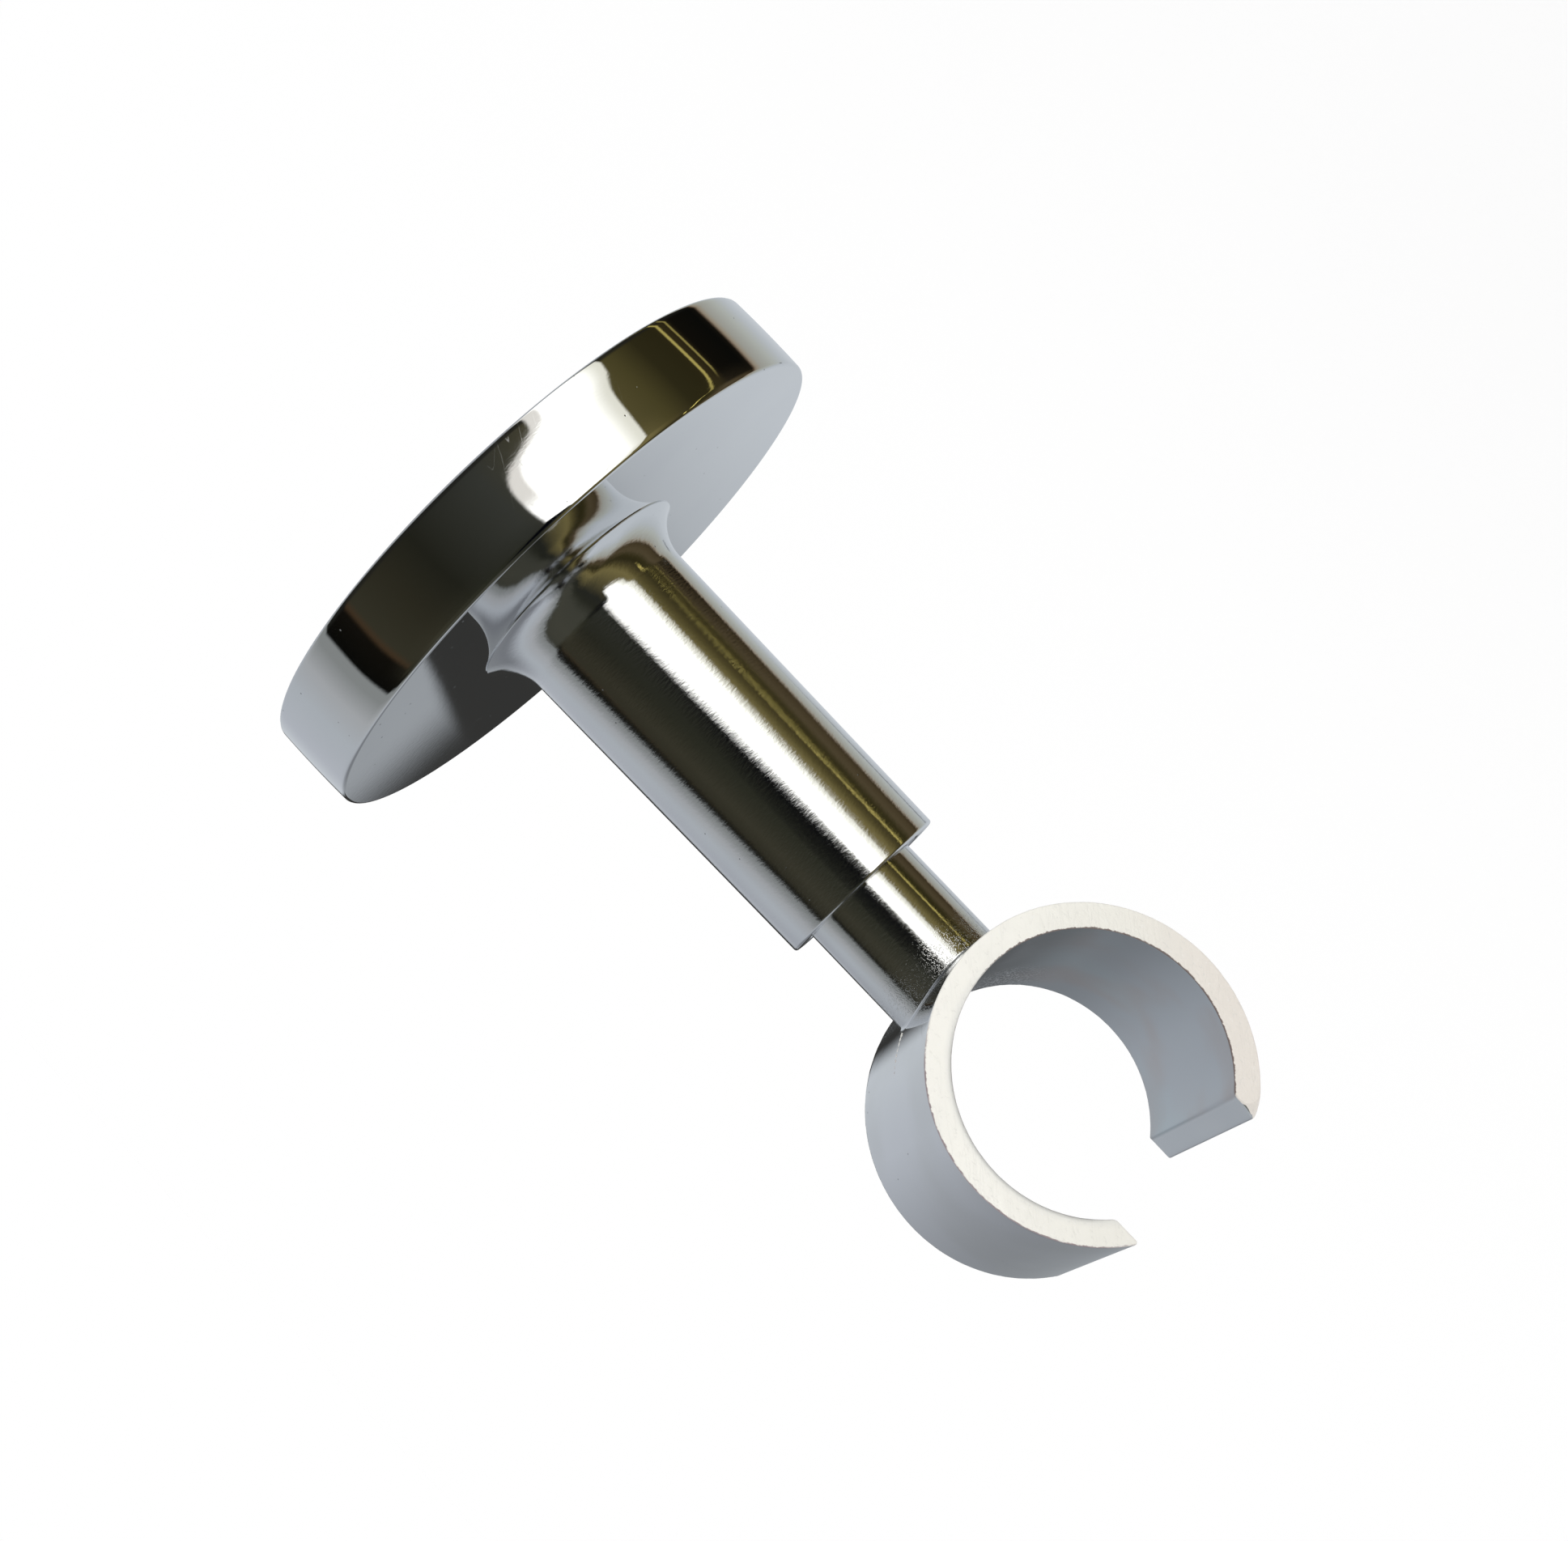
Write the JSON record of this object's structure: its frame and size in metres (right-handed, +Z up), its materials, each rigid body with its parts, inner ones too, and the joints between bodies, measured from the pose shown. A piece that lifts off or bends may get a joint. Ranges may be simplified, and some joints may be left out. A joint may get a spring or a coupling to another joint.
{
  "type": "curtain pole bracket",
  "caption": "Chromed wall bracket for a curtain pole: round rose, flared post and a sliding stem that ends in an open ring.",
  "frame": {"origin": "centre of the flat back of the wall plate, in the plane of the wall", "axes": "+Y points into the wall, so the post and stem stand out along -Y; +X runs along the curtain pole; +Z is up"},
  "size_m": [0.0658, 0.0969, 0.0658],
  "materials": {
    "polished_chrome": "polished",
    "ring_chrome": "polished, satin on the filed ends",
    "zinc_casting": "dull cast",
    "plated_steel": "zinc plated"
  },
  "bodies": {
    "wall_side": {"wall_plate": "zinc_casting", "cover_rose": "polished_chrome", "rose_grub_screw": "plated_steel", "post": "polished_chrome", "post_screw": "plated_steel", "lock_washer": "plated_steel", "stem_grub_screw": "plated_steel"},
    "ring_side": {"pole_ring": "ring_chrome"}
  },
  "joints": [
    {"name": "projection_slide", "type": "slide", "parent": "wall_side", "child": "ring_side", "axis": [0, -1, 0], "range_m": [-0.011, 0.012]}
  ]
}
